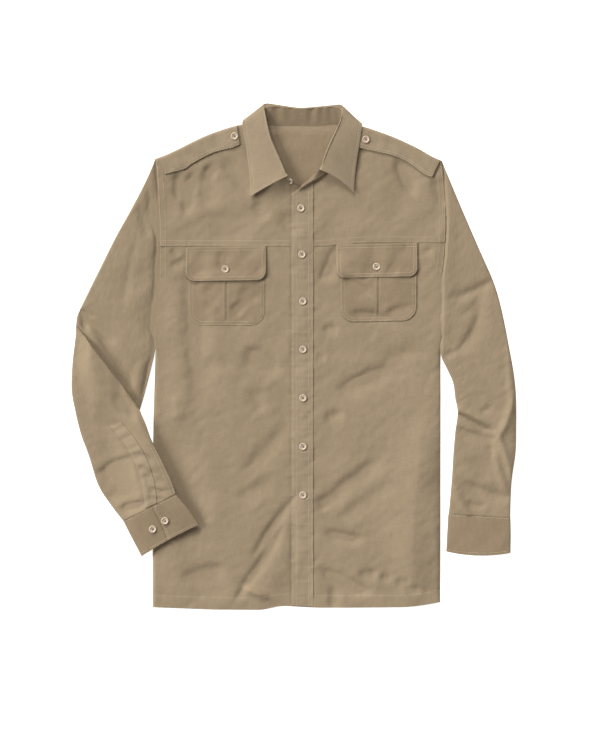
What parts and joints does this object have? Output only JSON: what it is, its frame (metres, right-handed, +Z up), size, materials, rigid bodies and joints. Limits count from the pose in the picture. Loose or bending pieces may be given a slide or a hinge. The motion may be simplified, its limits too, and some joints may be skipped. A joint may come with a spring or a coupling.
{
  "type": "pilot shirt",
  "caption": "Long-sleeved buttoned shirt lying flat, with a folded collar, shoulder straps, flap pockets with a pleat and one sleeve bent across the body.",
  "frame": {"origin": "on the surface that the shirt lies on, below the middle of the body", "axes": "+Z up out of the front, +Y towards the collar, +X towards the wearer's left"},
  "size_m": [0.7382, 0.8394, 0.0185],
  "materials": {
    "cloth": "matte khaki cotton twill",
    "button": "polished ivory"
  },
  "bodies": {
    "root": {"back": "cloth", "back_yoke": "cloth", "front_right": "cloth", "front_left": "cloth", "chest_yoke_right": "cloth", "chest_yoke_left": "cloth", "placket": "cloth", "pocket_right": "cloth", "pocket_left": "cloth", "pocket_flap_right": "cloth", "pocket_flap_left": "cloth", "shoulder_strap_right": "cloth", "shoulder_strap_left": "cloth", "sleeve_right": "cloth", "sleeve_left": "cloth", "sleeve_placket_right": "cloth", "cuff_right": "cloth", "cuff_left": "cloth", "collar_leaf": "cloth", "collar_stand": "cloth", "button_front_1": "button", "button_front_2": "button", "button_front_3": "button", "button_front_4": "button", "button_front_5": "button", "button_front_6": "button", "button_front_7": "button", "button_pocket_right": "button", "button_pocket_left": "button", "button_strap_right": "button", "button_strap_left": "button", "button_cuff_right_1": "button", "button_cuff_right_2": "button"}
  },
  "joints": []
}
